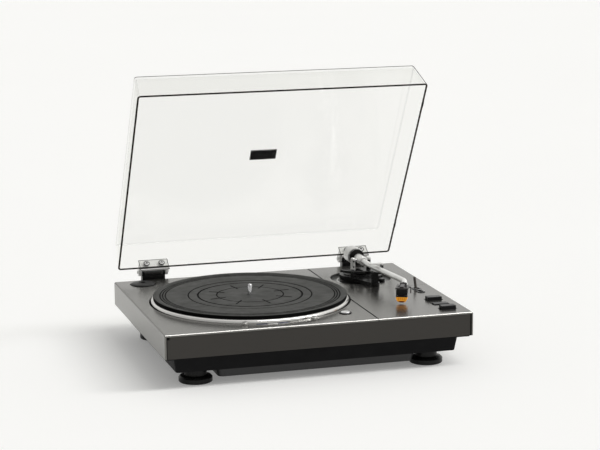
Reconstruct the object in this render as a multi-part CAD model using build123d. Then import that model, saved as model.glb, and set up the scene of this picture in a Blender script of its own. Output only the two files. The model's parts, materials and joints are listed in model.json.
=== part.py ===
"""Record player with a hinged clear dust cover, shown with its cover open.

All shapes are made in the deck frame: the origin is the middle of the deck's
top face, +X is to the right, +Y to the back and +Z up. The finished pieces are
then moved so that the origin is the bottom centre of the whole object's box.
"""
import os

from build123d import *
from math import atan2, cos, degrees, radians, sin, sqrt

# ---------------------------------------------------------------- dimensions
# cabinet
DECK_W = 465.0
DECK_D = 362.0
DECK_TOP = 84.0        # height of the deck's top face over the floor
SHELL_H = 35.7         # height of the metal covers
SKIN = 3.0             # thickness of the covers
EDGE_R = 2.4           # rounding of the covers' long edges
SIDE_LIP = 2.4         # cover edge left standing at each end of the fascia
GROOVE_X = 85.6        # groove between the platter side and the arm side
GROOVE_W = 2.2
SEAM_Y = 12.3          # seam between the arm panel and the control panel
SEAM_W = 0.7
TRIM = 1.2             # bright strip along the top front edge

# lower case
CASE_TOP_X, CASE_TOP_Y = 216.0, 163.8
CASE_LOW_X, CASE_LOW_Y = 212.0, 160.5
CASE_BOTTOM = -61.5
CASE_WALL = 3.0
FLANGE_T = 2.0
CASE_OPENING = 134.0   # half width of the square opening in its floor
PAN_HALF_X, PAN_HALF_Y = 150.0, 156.0
PAN_BOTTOM = -74.0

# feet
FOOT_X = 176.8
FOOT_Y_FRONT, FOOT_Y_REAR = -130.0, 136.0
FOOT_R, NECK_R, FOOT_DISC = 24.7, 16.5, 9.5
PAD_R, PAD_T = 20.0, 2.5

# platter and its drive
PLATTER_X, PLATTER_Y = -60.0, -3.0
WELL_R = 152.6
PLATTER_R, PLATTER_TOP, PLATTER_LOW = 149.9, 4.6, -13.0
MAT_R, MAT_TOP = 146.6, 10.0
SPINDLE_R, SPINDLE_TOP = 3.6, 25.0
RUN = 0.04             # radial clearance of a running fit
WELL_FLOOR = -20.0

# controls
KNOB_X = (-108.5, -4.5)
KNOB_Y, KNOB_R, KNOB_H = -155.0, 4.6, 4.2
START_X, START_Y, START_R, BEZEL_R = 51.0, -129.5, 7.2, 9.2
KEY_X, KEY_W, KEY_DEPTH, KEY_UP, KEY_TRAVEL = 204.0, 22.5, 12.0, 5.2, 3.8
KEY_Y = {"rear": -88.0, "middle": -117.0, "front": -148.0}
CUE_X, CUE_SLOT_Y, CUE_PIVOT_Z = 203.5, -23.0, -30.0
CUE_LEAN, CUE_TRAVEL = 22.0, 40.0
ADAPTER_X, ADAPTER_Y, ADAPTER_R = -192.3, 151.0, 19.05

# tone arm
ARM_X, ARM_Y, ARM_Z = 147.0, 90.0, 29.0
ARM_WELL_R, ARM_WELL_DEPTH = 48.5, 5.0
TUBE_R = 4.3
BASE_R, BASE_TOP = 34.0, 8.5
REST_X, REST_Y = 148.5, 24.0
PILLAR_GAP = 13.0      # from the arm's line to each pillar
BEND = (168.5, -57.0, 24.2)
HEAD = (161.2, -74.0, 22.7)   # front face of the collar nut
OFFSET = 26.0          # angle of the head to the deck's sides
COLLAR_T = 7.0
GUARD_Y, GUARD_Z = -25.0, -4.0   # guard's pivot in the head's own frame
WEIGHT_R, DIAL_R = 13.2, 12.4
ANTISKATE_X, ANTISKATE_Y, ANTISKATE_R = 170.0, 56.5, 5.5
LIFT_R, LIFT_TRAVEL = 42.0, 4.0
STEM_IN = 21.0         # the lift's stem, left of and in front of the pivot
REST_TOP, CHEEK_X, CLIP_Z = 22.6, 159.6, 34.9

# dust cover
LID_W, LID_D, LID_H, LID_T = 452.1, 349.2, 53.8, 3.0
LID_TAPER, LID_CORNER = 5.1, 5.0
LID_REAR_Y, LID_RIM_Z = 181.4, 0.8
LID_OPEN = 58.8        # degrees from closed
HINGE_Y, HINGE_Z = 196.35, 9.6
HINGE_X = 166.5
BARREL_R, PIN_R = 7.6, 2.5
BARREL_HALF, BRACKET_HALF = 18.5, 23.5
SCREW_UP, SCREW_SIDE = 8.0, 12.1

MIDDLE = (Align.CENTER, Align.CENTER, Align.MIN)


# ------------------------------------------------------------------- helpers
def block(x0, x1, y0, y1, z0, z1):
    """A box between two corners."""
    centre = ((x0 + x1) / 2, (y0 + y1) / 2, (z0 + z1) / 2)
    return Pos(*centre) * Box(x1 - x0, y1 - y0, z1 - z0)


def rod(x, y, radius, z0, z1):
    """An upright cylinder from z0 to z1."""
    return Pos(x, y, z0) * Cylinder(radius, z1 - z0, align=MIDDLE)


def tube(x, y, outer, inner, z0, z1):
    """An upright pipe from z0 to z1."""
    return rod(x, y, outer, z0, z1) - rod(x, y, inner, z0 - 1, z1 + 1)


def rod_x(y, z, radius, x0, x1):
    """A cylinder that lies along X."""
    lying = Rotation(0, 90, 0) * Cylinder(radius, x1 - x0, align=MIDDLE)
    return Pos(x0, y, z) * lying


def rod_y(x, z, radius, y0, y1):
    """A cylinder that lies along Y."""
    lying = Rotation(-90, 0, 0) * Cylinder(radius, y1 - y0, align=MIDDLE)
    return Pos(x, y0, z) * lying


def turned(x, y, points):
    """A solid turned about an upright axis from (radius, z) points."""
    face = make_face(Polyline([(r, 0, z) for r, z in points], close=True))
    return Pos(x, y, 0) * revolve(face, Axis.Z)


def between(start, end, radius):
    """A round bar from one point to another."""
    path = Line(start, end)
    return sweep(Plane(path @ 0, z_dir=path % 0) * Circle(radius), path)


def group(solids):
    """Several separate solids in one node."""
    return Compound(children=list(solids))


def frustum(half_low, half_high, z_low, z_high, radius):
    """A tapered block with rounded upright corners, from half sizes."""
    sections = [
        Pos(0, 0, z) * RectangleRounded(2 * x, 2 * y, radius)
        for (x, y), z in ((half_low, z_low), (half_high, z_high))
    ]
    return loft(sections)


# ------------------------------------------------------------------- cabinet
def panel_openings():
    """Everything that is cut through or into the deck's top skin."""
    cuts = [rod(PLATTER_X, PLATTER_Y, WELL_R, -SKIN - 1, 1)]
    cuts += [rod(x, KNOB_Y, 2.3, -SKIN - 1, 1) for x in KNOB_X]
    cuts.append(rod(START_X, START_Y, BEZEL_R + 0.1, -SKIN - 1, 1))
    for y in KEY_Y.values():
        half_w, half_d = KEY_W / 2 + 2.2, KEY_DEPTH / 2 + 0.4
        cuts.append(block(KEY_X - half_w, KEY_X + half_w, y - half_d, y + half_d, -SKIN - 1, 1))
    cuts.append(Pos(CUE_X, CUE_SLOT_Y, -SKIN - 1) * cue_oval(6.3, 36.6, SKIN + 2))
    cuts.append(rod(ADAPTER_X, ADAPTER_Y, ADAPTER_R + 1.4, -2.0, 1))
    cuts.append(rod(ARM_X, ARM_Y, ARM_WELL_R, -SKIN - 1, 1))
    cuts.append(strobe_sector(WELL_R - 3, 159.0, -SKIN - 1, 1))
    return cuts


def cue_oval(half_width, length, height):
    """An upright oval plate, longer along Y, with its foot at the origin."""
    outline = Rotation(0, 0, 90) * SlotOverall(length, 2 * half_width)
    return extrude(outline, height)


def strobe_sector(inner, outer, z0, z1, margin=0.0):
    """A short arc of a ring in front of the platter, round its axis."""
    ring = tube(PLATTER_X, PLATTER_Y, outer, inner, z0, z1)
    half = 25.0 - margin
    middle = PLATTER_X - 7.0
    return ring & block(middle - half, middle + half, -DECK_D / 2, PLATTER_Y - 100, z0, z1)


def cabinet_shell():
    """The whole metal cover before it is parted along its seams."""
    half_w, half_d = DECK_W / 2, DECK_D / 2
    shell = block(-half_w, half_w, -half_d, half_d, -SHELL_H, 0)
    shell = fillet(shell.edges().filter_by(Axis.Z), 2.0)
    top = shell.edges().group_by(Axis.Z)[-1].filter_by(Axis.Y)
    shell = fillet(top, EDGE_R)
    shell -= block(
        -half_w + SKIN, half_w - SKIN, -half_d + SKIN, half_d - SKIN, -SHELL_H - 1, -SKIN
    )
    shell -= block(
        -half_w + SIDE_LIP, half_w - SIDE_LIP, -half_d - 1, -half_d + 4.0, -SHELL_H - 1, -SKIN
    )
    shell -= block(-half_w + 1, half_w - 1, -half_d - 1, -half_d + TRIM, -TRIM, 1)
    for cut in panel_openings():
        shell -= cut
    return shell


def cabinet_covers():
    """The three metal covers: platter side, arm side and control side."""
    shell = cabinet_shell()
    far, deep = DECK_W, SHELL_H + 5
    left, right = GROOVE_X - GROOVE_W / 2, GROOVE_X + GROOVE_W / 2
    front, back = SEAM_Y - SEAM_W / 2, SEAM_Y + SEAM_W / 2
    return {
        "platter_deck": shell & block(-far, left, -far, far, -deep, 5),
        "tonearm_deck": shell & block(right, far, back, far, -deep, 5),
        "control_deck": shell & block(right, far, -far, front, -deep, 5),
    }


def front_pieces():
    """The dark fascia and the bright strip over it."""
    half_w, front = DECK_W / 2, -DECK_D / 2
    inside = half_w - SIDE_LIP - 0.6
    fascia = block(-inside, inside, front + 0.8, front + 3.8, -SHELL_H, -SKIN)
    strip = block(-half_w + 1, half_w - 1, front, front + TRIM, -TRIM, 0)
    strip = chamfer(strip.edges().filter_by(Axis.X).sort_by(Axis.Y)[:2].sort_by(Axis.Z)[-1], 0.7)
    return {"front_fascia": fascia, "trim_strip": strip}


# ---------------------------------------------------------------- lower case
def chassis():
    """Black lower case: a flange under the covers, a tapered tub and posts."""
    flange = block(-228, 228, -177, 177, -SHELL_H - FLANGE_T, -SHELL_H)
    tub = frustum(
        (CASE_LOW_X, CASE_LOW_Y), (CASE_TOP_X, CASE_TOP_Y), CASE_BOTTOM, -SHELL_H - FLANGE_T, 5
    )
    w = CASE_WALL
    hollow = frustum(
        (CASE_LOW_X - w, CASE_LOW_Y - w),
        (CASE_TOP_X - w, CASE_TOP_Y - w),
        CASE_BOTTOM + w,
        -SHELL_H + 1,
        3,
    )
    o = CASE_OPENING
    body = flange + tub - hollow - block(-o, o, -o, o, CASE_BOTTOM - 1, 0)
    for x, y in ((-165, -93), (-165, 87), (-30, -148), (-30, 142)):
        body += rod(x, y, 5, CASE_BOTTOM + w - 0.5, WELL_FLOOR - 2)
    for x, y in screw_places():
        body -= rod(x, y, 1.7, CASE_BOTTOM - 1, CASE_BOTTOM + w + 1)
    return body


def screw_places():
    """Where the bottom cover is screwed to the case."""
    edge = 142.0
    return [(x, y) for x in (-edge, edge) for y in (-100, 0, 100)]


def bottom_cover():
    """Pressed tray that closes the case from below."""
    x, y, t = PAN_HALF_X, PAN_HALF_Y, 2.0
    tray = frustum((x - 2, y - 2), (x, y), PAN_BOTTOM, CASE_BOTTOM, 8)
    room = frustum((x - 2 - t, y - 2 - t), (x - t, y - t), PAN_BOTTOM + t, CASE_BOTTOM + 0.01, 6)
    cover = tray - room
    for sx, sy in screw_places():
        cover += rod(sx, sy, 4.5, PAN_BOTTOM + 1, CASE_BOTTOM)
    for sx, sy in screw_places():
        cover -= rod(sx, sy, 1.7, PAN_BOTTOM - 1, CASE_BOTTOM + 1)
        cover -= rod(sx, sy, 3.3, PAN_BOTTOM - 1, PAN_BOTTOM + 3)
    return cover


def case_screws():
    """Pan-head screws through the bottom cover's posts."""
    seat = PAN_BOTTOM + 3.0
    return group(
        rod(x, y, 1.6, seat - 0.5, CASE_BOTTOM + 2.5) + rod(x, y, 3.0, seat - 2.2, seat)
        for x, y in screw_places()
    )


def feet():
    """Four damped feet, each a cup with a rubber pad let into its sole."""
    floor = -DECK_TOP
    parts, pads = {}, []
    for side, x in (("left", -FOOT_X), ("right", FOOT_X)):
        for end, y in (("front", FOOT_Y_FRONT), ("rear", FOOT_Y_REAR)):
            outline = [
                (0, CASE_BOTTOM),
                (NECK_R, CASE_BOTTOM),
                (NECK_R, floor + FOOT_DISC + 1.5),
                (FOOT_R - 2.2, floor + FOOT_DISC),
                (FOOT_R, floor + FOOT_DISC - 2.2),
                (FOOT_R, floor + 1.4),
                (FOOT_R - 0.8, floor + 0.6),
                (PAD_R, floor + 0.6),
                (PAD_R, floor + PAD_T),
                (0, floor + PAD_T),
            ]
            parts[f"foot_{end}_{side}"] = turned(x, y, outline)
            pads.append(rod(x, y, PAD_R - 0.05, floor, floor + PAD_T - 0.05))
    parts["foot_pads"] = group(pads)
    return parts


# ------------------------------------------------------------ platter, drive
def drive():
    """Platter, mat, spindle, and the direct drive motor under them."""
    x, y = PLATTER_X, PLATTER_Y
    well = turned(
        x,
        y,
        [
            (10.0, WELL_FLOOR),
            (WELL_R, WELL_FLOOR),
            (WELL_R, -5.0),
            (WELL_R, -SKIN),
            (163.0, -SKIN),
            (163.0, -5.0),
            (WELL_R + 2, -5.0),
            (WELL_R + 2, WELL_FLOOR - 2),
            (10.0, WELL_FLOOR - 2),
        ],
    )
    well -= strobe_sector(WELL_R - 3, 160.0, -12.0, 0.0)
    for knob_x in KNOB_X:
        well -= rod(knob_x, KNOB_Y, 2.6, -6, 0)
    well -= rod(START_X, START_Y, BEZEL_R + 2.0, -6, 0)
    platter = turned(
        x,
        y,
        [
            (SPINDLE_R + 0.02, -9.0),
            (16.0, -9.0),
            (16.0, 2.0),
            (141.0, 2.0),
            (143.0, 0.0),
            (143.0, PLATTER_LOW),
            (PLATTER_R - 1, PLATTER_LOW),
            (PLATTER_R, PLATTER_LOW + 1),
            (PLATTER_R, PLATTER_TOP - 2.2),
            (PLATTER_R - 2.2, PLATTER_TOP),
            (SPINDLE_R + 0.02, PLATTER_TOP),
        ],
    )
    mat = turned(
        x,
        y,
        [
            (SPINDLE_R + 0.3, PLATTER_TOP),
            (MAT_R, PLATTER_TOP),
            (MAT_R, MAT_TOP - 1.0),
            (MAT_R - 1.0, MAT_TOP),
            (MAT_R - 5.0, MAT_TOP),
            (MAT_R - 7.0, MAT_TOP - 1.2),
            (92.0, MAT_TOP - 1.2),
            (90.0, MAT_TOP - 2.0),
            (SPINDLE_R + 0.3, MAT_TOP - 2.0),
        ],
    )
    spindle = turned(
        x,
        y,
        [
            (0, -48.0),
            (SPINDLE_R, -48.0),
            (SPINDLE_R, SPINDLE_TOP - 4.0),
            (SPINDLE_R - 0.6, SPINDLE_TOP - 1.8),
            (SPINDLE_R - 1.8, SPINDLE_TOP - 0.4),
            (0, SPINDLE_TOP),
        ],
    )
    housing = turned(
        x,
        y,
        [
            (SPINDLE_R + RUN, -10.5),
            (9.0, -10.5),
            (9.0, -17.0),
            (24.0, -17.0),
            (24.0, WELL_FLOOR),
            (9.0, WELL_FLOOR),
            (9.0, -54.0),
            (0, -54.0),
            (0, -50.0),
            (SPINDLE_R + RUN, -50.0),
        ],
    )
    stator = tube(x, y, 56, 26, WELL_FLOOR, WELL_FLOOR + 1.6)
    for k in range(8):
        a = radians(45 * k)
        stator += tube(
            x + 41 * cos(a), y + 41 * sin(a), 9.5, 3.5, WELL_FLOOR + 1.5, WELL_FLOOR + 8.5
        )
    return {
        "platter_well": well,
        "platter": platter,
        "platter_mat": mat,
        "spindle": spindle,
        "rotor_magnet": tube(x, y, 52, 30, -9.0, 2.0),
        "bearing_housing": housing,
        "motor_stator": stator,
    }


def electrics():
    """Transformer, speed control board, lamp window and rear sockets."""
    floor = CASE_BOTTOM + CASE_WALL
    core = block(-205, -153, 34, 72, floor, floor + 27)
    core += block(-198, -160, 26, 80, floor + 5, floor + 22)
    board = block(0, 120, -95, 95, -64.0, -62.4)
    for x in (8, 112):
        for y in (-87, 87):
            board += rod(x, y, 3, PAN_BOTTOM + 2, -63.0)
    for x, y in ((40, -50), (40, 0), (85, 35)):
        board += block(x - 9, x + 9, y - 6, y + 6, -62.6, -57.5)
    for x, y in ((80, -60), (95, -20), (30, 55), (60, 70)):
        board += rod(x, y, 5.5, -62.6, -46.0)
    window = strobe_sector(WELL_R + 0.3, 158.7, -11.5, -1.2, 0.3)
    rear = DECK_D / 2
    plate = block(60, 130, rear, rear + 1.5, -30, -8)
    for x in (75, 93):
        plate += rod_y(x, -19, 4.2, rear + 1, rear + 9)
        plate -= rod_y(x, -19, 1.7, rear + 4, rear + 10)
    plate += rod_y(115, -19, 3.4, rear + 1, rear + 7)
    inlet = block(-120, -92, rear, rear + 2.0, -30, -10)
    inlet += rod_y(-106, -20, 6.5, rear + 1, rear + 8)
    inlet -= rod_y(-106, -20, 3.3, rear + 1.5, rear + 9)
    return {
        "transformer": core,
        "servo_board": board,
        "strobe_window": window,
        "phono_terminal": plate,
        "power_inlet": inlet,
    }


# ------------------------------------------------------------------ controls
def controls():
    """Speed trimmers, start button, the three keys and the cue lever."""
    parts = {}
    for name, x in zip(("pitch_knob_33", "pitch_knob_45"), KNOB_X):
        knob = rod(x, KNOB_Y, KNOB_R, 0.3, KNOB_H)
        knob = chamfer(knob.edges().sort_by(Axis.Z)[-1], 0.6)
        parts[name] = knob + rod(x, KNOB_Y, 2.2, -9.0, 0.4)
    button = rod(START_X, START_Y, START_R, -6.0, 2.0)
    button = fillet(button.edges().sort_by(Axis.Z)[-1], 0.8)
    parts["start_button"] = button + rod(START_X, START_Y, 2.5, -14.0, -5.9)
    bezel = tube(START_X, START_Y, BEZEL_R, START_R + 0.15, -SKIN, 0.9)
    bezel += tube(START_X, START_Y, BEZEL_R + 1.6, START_R + 0.15, -12.0, -SKIN)
    parts["start_bezel"] = bezel
    switches = block(KEY_X - 17, KEY_X + 17, -165, -70, -34.0, -17.0)
    for name, y in KEY_Y.items():
        top = KEY_UP if name != "middle" else KEY_UP - KEY_TRAVEL  # this one is latched down
        half_w, half_d = KEY_W / 2, KEY_DEPTH / 2
        cap = block(KEY_X - half_w, KEY_X + half_w, y - half_d, y + half_d, -6.0, top)
        cap = fillet(cap.edges().group_by(Axis.Z)[-1], 0.8)
        parts[f"key_{name}"] = cap + rod(KEY_X, y, 4.0, -24.0, -5.9)
        switches -= rod(KEY_X, y, 4.3, -30.0, -16.0)
    parts["key_switch_block"] = switches
    oval = Pos(CUE_X, CUE_SLOT_Y, -1.5) * cue_oval(6.2, 36.4, 2.6)
    slot = Pos(CUE_X, CUE_SLOT_Y, -2.5) * cue_oval(3.4, 31.0, 5)
    parts["cue_escutcheon"] = chamfer(oval.edges().group_by(Axis.Z)[-1], 0.6) - slot
    lever = rod(0, 0, 2.0, 0, 51.0)
    lever = fillet(lever.edges().sort_by(Axis.Z)[-1], 1.2)
    lever += rod_x(0, 0, 4.0, -3, 3)
    parts["cue_lever"] = Pos(CUE_X, CUE_SLOT_Y, CUE_PIVOT_Z) * Rotation(-CUE_LEAN, 0, 0) * lever
    x, y, r = ADAPTER_X, ADAPTER_Y, ADAPTER_R
    parts["adapter_45"] = turned(
        x,
        y,
        [(3.7, -2.0), (r, -2.0), (r, 1.0), (r - 2.5, 2.2), (8.0, 3.0), (3.7, 3.0)],
    )
    return parts


# ------------------------------------------------------------------ tone arm
def arm_fixtures():
    """What carries the arm: the board in the well, the base and the rest."""
    x, y = ARM_X, ARM_Y
    low = -ARM_WELL_DEPTH
    board = turned(
        x,
        y,
        [
            (0, low),
            (ARM_WELL_R - 1.5, low),
            (ARM_WELL_R - 1.5, -SKIN),
            (ARM_WELL_R + 5, -SKIN),
            (ARM_WELL_R + 5, -SKIN - 1.5),
            (ARM_WELL_R, -SKIN - 1.5),
            (ARM_WELL_R, low - 2),
            (0, low - 2),
        ],
    )
    board -= rod(ANTISKATE_X, ANTISKATE_Y, 2.0 + RUN, low - 3, low + 1)
    heading = degrees(atan2(REST_Y - y, REST_X - x))
    reach = sqrt((REST_X - x) ** 2 + (REST_Y - y) ** 2)
    outline = [(0, 12.0), (reach, 7.0), (reach, -7.0), (0, -BASE_R * 0.97)]
    tongue = extrude(make_face(Polyline(outline, close=True)), 6.0)
    base = rod(x, y, BASE_R, low, BASE_TOP - 1.5) + rod(REST_X, REST_Y, 7.0, 0.3, 6.3)
    base += Pos(x, y, 0.3) * Rotation(0, 0, heading) * tongue
    base += rod(x, y, BASE_R - 6, BASE_TOP - 2, BASE_TOP)
    base -= rod(x, y, 5.0 + RUN, low + 2, BASE_TOP + 1)
    base -= rod(REST_X - 2, REST_Y, 3.0, 1.0, 8.0)
    base -= rod(x - STEM_IN, y - STEM_IN, 3.0 + RUN, low + 2, BASE_TOP + 1)
    rest = rod(REST_X - 2, REST_Y, 2.95, 1.05, 8.0)
    front, back = REST_Y - 4, REST_Y + 4
    rest += block(REST_X - 5.5, REST_X + 4.5, front, back, 6.3, REST_TOP - 2.0)
    rest += block(REST_X - 5.5, CHEEK_X + 1.4, front, back, REST_TOP - 3.0, REST_TOP)
    rest += block(CHEEK_X - 1.4, CHEEK_X + 1.4, front, back, REST_TOP - 1.0, CLIP_Z)
    rest -= rod_y(CHEEK_X, CLIP_Z, 1.7, front - 1, back + 1)
    return {"arm_board": board, "arm_base": base, "arm_rest": rest}


def arm_controls():
    """The clip on the rest, the lift platform and the side thrust knob."""
    x, y = ARM_X, ARM_Y
    front, back = REST_Y - 4, REST_Y + 4
    clip = rod_y(CHEEK_X, CLIP_Z, 1.4, front, back)
    clip += block(CHEEK_X - 20, CHEEK_X, front, back, CLIP_Z + 0.1, CLIP_Z + 1.4)
    lift_ring = tube(x, y, LIFT_R + 1.8, LIFT_R - 1.8, 15.6, 19.2)
    side = sin(radians(9)) * 70
    sector = make_face(Polyline([(0, 0), (side, -70), (-70, -90), (-90, -42)], close=True))
    bar = lift_ring & (Pos(x, y, 15) * extrude(sector, 6))
    bar += Pos(x, y, 0) * Rotation(0, 0, 225) * block(STEM_IN * sqrt(2), LIFT_R, -2.2, 2.2, 16.0, 18.8)
    bar += rod(x - STEM_IN, y - STEM_IN, 3.0, 2.0, 18.0)
    foot = -ARM_WELL_DEPTH
    knob = rod(ANTISKATE_X, ANTISKATE_Y, ANTISKATE_R, foot + 0.3, foot + 9.5)
    knob = chamfer(knob.edges().sort_by(Axis.Z)[-1], 0.8)
    knob += rod(ANTISKATE_X, ANTISKATE_Y, 2.0, foot - 4, foot + 0.5)
    return {"rest_clip": clip, "lift_bar": bar, "antiskate_knob": knob}


def arm_moving():
    """Everything that swings: yoke, cross shaft, tube, head and weights."""
    x, y, z = ARM_X, ARM_Y, ARM_Z
    yoke = rod(x, y, 5.0, -2.5, 9.5) + rod(x, y, 17.0, BASE_TOP + 0.3, 13.5)
    for side in (-1, 1):
        pillar = rod(x + side * PILLAR_GAP, y, 3.9, 13.0, z + 4.0)
        yoke += fillet(pillar.edges().sort_by(Axis.Z)[-1], 1.5)
    yoke -= rod_x(y, z, 2.0 + RUN, x - 12.0, x + 12.0)
    shaft = rod_x(y, z, 2.0, x - 11.5, x + 11.5)
    barrel = rod_y(x, z, 7.2, y - 13, y + 12) - rod_x(y, z, 2.0 + RUN, x - 9, x + 9)
    neck = rod_y(x, z, 5.0, y + 12, y + 19)
    barrel = chamfer(barrel.edges().filter_by(GeomType.CIRCLE).sort_by(Axis.Y)[0], 1.2) + neck
    return {"arm_yoke": yoke, "pivot_shaft": shaft, "arm_barrel": barrel}


def arm_tube():
    """The bent wand, from the barrel to the headshell's collar nut."""
    x, y, z = ARM_X, ARM_Y, ARM_Z
    turn = radians(OFFSET)
    heading = Vector(-sin(turn), -cos(turn), 0)
    end = Vector(*HEAD) - heading * COLLAR_T
    path = FilletPolyline((x, y - 13.4, z), (x + 1.5, y - 45, z - 0.4), BEND, end, radius=18)
    return sweep(Plane(path @ 0, z_dir=path % 0) * Circle(TUBE_R), path)


def at_head(piece):
    """Move a piece from the head's own frame, -Y forwards, to its place."""
    return Pos(*HEAD) * Rotation(0, 0, -OFFSET) * piece


def arm_head():
    """Collar nut, headshell, cartridge and stylus guard."""
    collar = rod_y(0, 0, 5.3, 0, COLLAR_T - 0.7)
    collar = chamfer(collar.edges().filter_by(GeomType.CIRCLE), 0.5)
    shell = block(-9.5, 9.5, -27, -3, -1.4, 0.8) + block(-3, 3, -26, -1, -1.4, 2.8)
    shell += block(-5, 5, -3.5, -0.2, -3.5, 3.5)
    for side in (-1, 1):
        points = [(side * 4.0, -6), (side * 4.0, -22), (side * 7.8, -22)]
        shell -= Pos(0, 0, -4) * extrude(make_face(Polyline(points, close=True)), 8)
    shell += between((9.0, -14, -0.3), (12.8, -14, -0.3), 0.9)
    shell += between((12.6, -13.8, -0.2), (12.8, -18, -8.5), 0.9)
    cartridge = block(-7.6, 7.6, -24.5, -9, -11.0, -1.4)
    cartridge += block(-5.6, 5.6, -23.0, -10, -13.4, -11.0)
    cartridge += between((0, -19.5, -13.0), (0, -23.2, -15.4), 0.4)
    guard = block(-8.2, 8.2, -27.4, -25.9, -21.0, -10.8)
    guard = fillet(guard.edges().filter_by(Axis.Y).group_by(Axis.Z)[0], 6.0)
    for side in (-1, 1):
        x0, x1 = sorted((side * 7.9, side * 8.6))
        guard += block(x0, x1, -26.5, -20, -16.5, -10.8)
        guard += block(x0, x1, -26.5, -23.5, -11.0, GUARD_Z)
        guard += rod_x(GUARD_Y, GUARD_Z, 1.6, x0, x1)
    return {
        "collar_nut": at_head(collar),
        "headshell": at_head(shell),
        "cartridge": at_head(cartridge),
        "stylus_guard": at_head(guard),
    }


def arm_weights():
    """The counterweight and the tracking force dial in front of it."""
    x, y, z = ARM_X, ARM_Y, ARM_Z
    weight = rod_y(x, z, WEIGHT_R, y + 26, y + 50) - rod_y(x, z, 4.06, y + 20, y + 46)
    weight = chamfer(weight.edges().filter_by(GeomType.CIRCLE).sort_by(Axis.Y)[-1], 1.6)
    dial = rod_y(x, z, DIAL_R, y + 20.5, y + 25.6) - rod_y(x, z, 4.06, y + 18, y + 30)
    stub = rod_y(x, z, 4.0, y + 19, y + 45)
    return {"counterweight": weight, "force_dial": dial}, stub


# ---------------------------------------------------------------- dust cover
def lid_closed():
    """The clear cover as it lies on the deck."""
    half_w, half_d = LID_W / 2, LID_D / 2
    small_w, small_d = half_w - LID_TAPER, half_d - LID_TAPER
    outer = frustum((half_w, half_d), (small_w, small_d), 0, LID_H, LID_CORNER)
    outer = fillet(outer.edges().group_by(Axis.Z)[-1], 2.0)
    t = LID_T
    inner = frustum(
        (half_w - t, half_d - t), (small_w - t, small_d - t), -0.01, LID_H - t, LID_CORNER - t
    )
    return Pos(0, LID_REAR_Y - half_d, LID_RIM_Z) * (outer - inner)


def lid_wall_lean():
    """Angle between the cover's rear wall and the upright, in degrees."""
    return degrees(atan2(LID_TAPER, LID_H))


def lid_pieces():
    """Cover, badge, brackets, screws and bumpers, all in the closed place."""
    lid = lid_closed()
    top = LID_RIM_Z + LID_H
    middle_y = LID_REAR_Y - LID_D / 2
    badge = block(-20.5, 22.0, middle_y - 13.5, middle_y + 6.0, top, top + 0.8)
    badge = chamfer(badge.edges().group_by(Axis.Z)[-1], 0.4)
    brackets, screws = [], []
    lean = lid_wall_lean()
    for side in (-1, 1):
        cx = side * HINGE_X
        place = Pos(cx, LID_REAR_Y, LID_RIM_Z) * Rotation(lean, 0, 0)
        plate = place * block(-BRACKET_HALF, BRACKET_HALF, 0.05, 1.55, -3.5, 18.2)
        ears = None
        for end in (-1, 1):
            inner = end * (BARREL_HALF + 0.4)
            outer = end * BRACKET_HALF
            x0, x1 = sorted((cx + inner, cx + outer))
            ear = rod_x(HINGE_Y, HINGE_Z, BARREL_R - 1, x0, x1)
            ear += block(x0, x1, LID_REAR_Y + 0.4, HINGE_Y, HINGE_Z - 4.5, HINGE_Z + 4.5)
            ears = ear if ears is None else ears + ear
        bracket = plate + ears
        bracket -= rod_x(HINGE_Y, HINGE_Z, PIN_R + 0.02, cx - 40, cx + 40)
        cut = place * block(-30, 30, -6, 0.04, -12, 30)
        bracket -= cut
        for sx in (-SCREW_SIDE, SCREW_SIDE):
            hole = place * rod_y(sx, SCREW_UP, 2.1, -10, 10)
            lid -= hole
            bracket -= hole
            screw = rod_y(sx, SCREW_UP, 2.0, -LID_T - 1.0, 2.6)
            screw += rod_y(sx, SCREW_UP, 3.8, -LID_T - 1.5, -LID_T - 0.1)
            screw += rod_y(sx, SCREW_UP, 3.4, 1.6, 3.6)
            screws.append(place * screw)
        brackets.append(bracket)
    bumpers = []
    for side in (-1, 1):
        for by in (LID_REAR_Y - LID_D + 40, LID_REAR_Y - 60):
            bx = side * (LID_W / 2 - LID_T / 2)
            bumpers.append(block(bx - 1.3, bx + 1.3, by - 6, by + 6, LID_RIM_Z - 0.6, LID_RIM_Z))
    return {
        "dust_cover": lid,
        "lid_badge": badge,
        "lid_brackets": group(brackets),
        "bracket_screws": group(screws),
        "lid_bumpers": group(bumpers),
    }


def hinge_fixed():
    """The blocks on the back of the cabinet and the pins through them."""
    rear = DECK_D / 2
    parts, pins = {}, []
    for side, name in ((-1, "left"), (1, "right")):
        cx = side * HINGE_X
        body = block(cx - 19, cx + 19, rear, rear + 21, -33.0, -3.6)
        body = fillet(body.edges().filter_by(Axis.Z).sort_by(Axis.Y)[-2:], 3.0)
        neck = block(cx - BARREL_HALF, cx + BARREL_HALF, HINGE_Y - 6, HINGE_Y + 5.5, -4.6, HINGE_Z)
        body += neck + rod_x(HINGE_Y, HINGE_Z, BARREL_R, cx - BARREL_HALF, cx + BARREL_HALF)
        body -= rod_x(HINGE_Y, HINGE_Z, PIN_R + 0.05, cx - 40, cx + 40)
        parts[f"hinge_block_{name}"] = body
        pins.append(rod_x(HINGE_Y, HINGE_Z, PIN_R, cx - 25.5, cx + 25.5))
    parts["hinge_pins"] = group(pins)
    return parts


# ------------------------------------------------------------------ assembly
def opened(part):
    """Turn a piece of the dust cover up about its hinge."""
    swing = Pos(0, HINGE_Y, HINGE_Z) * Rotation(-LID_OPEN, 0, 0) * Pos(0, -HINGE_Y, -HINGE_Z)
    return swing * part


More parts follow.
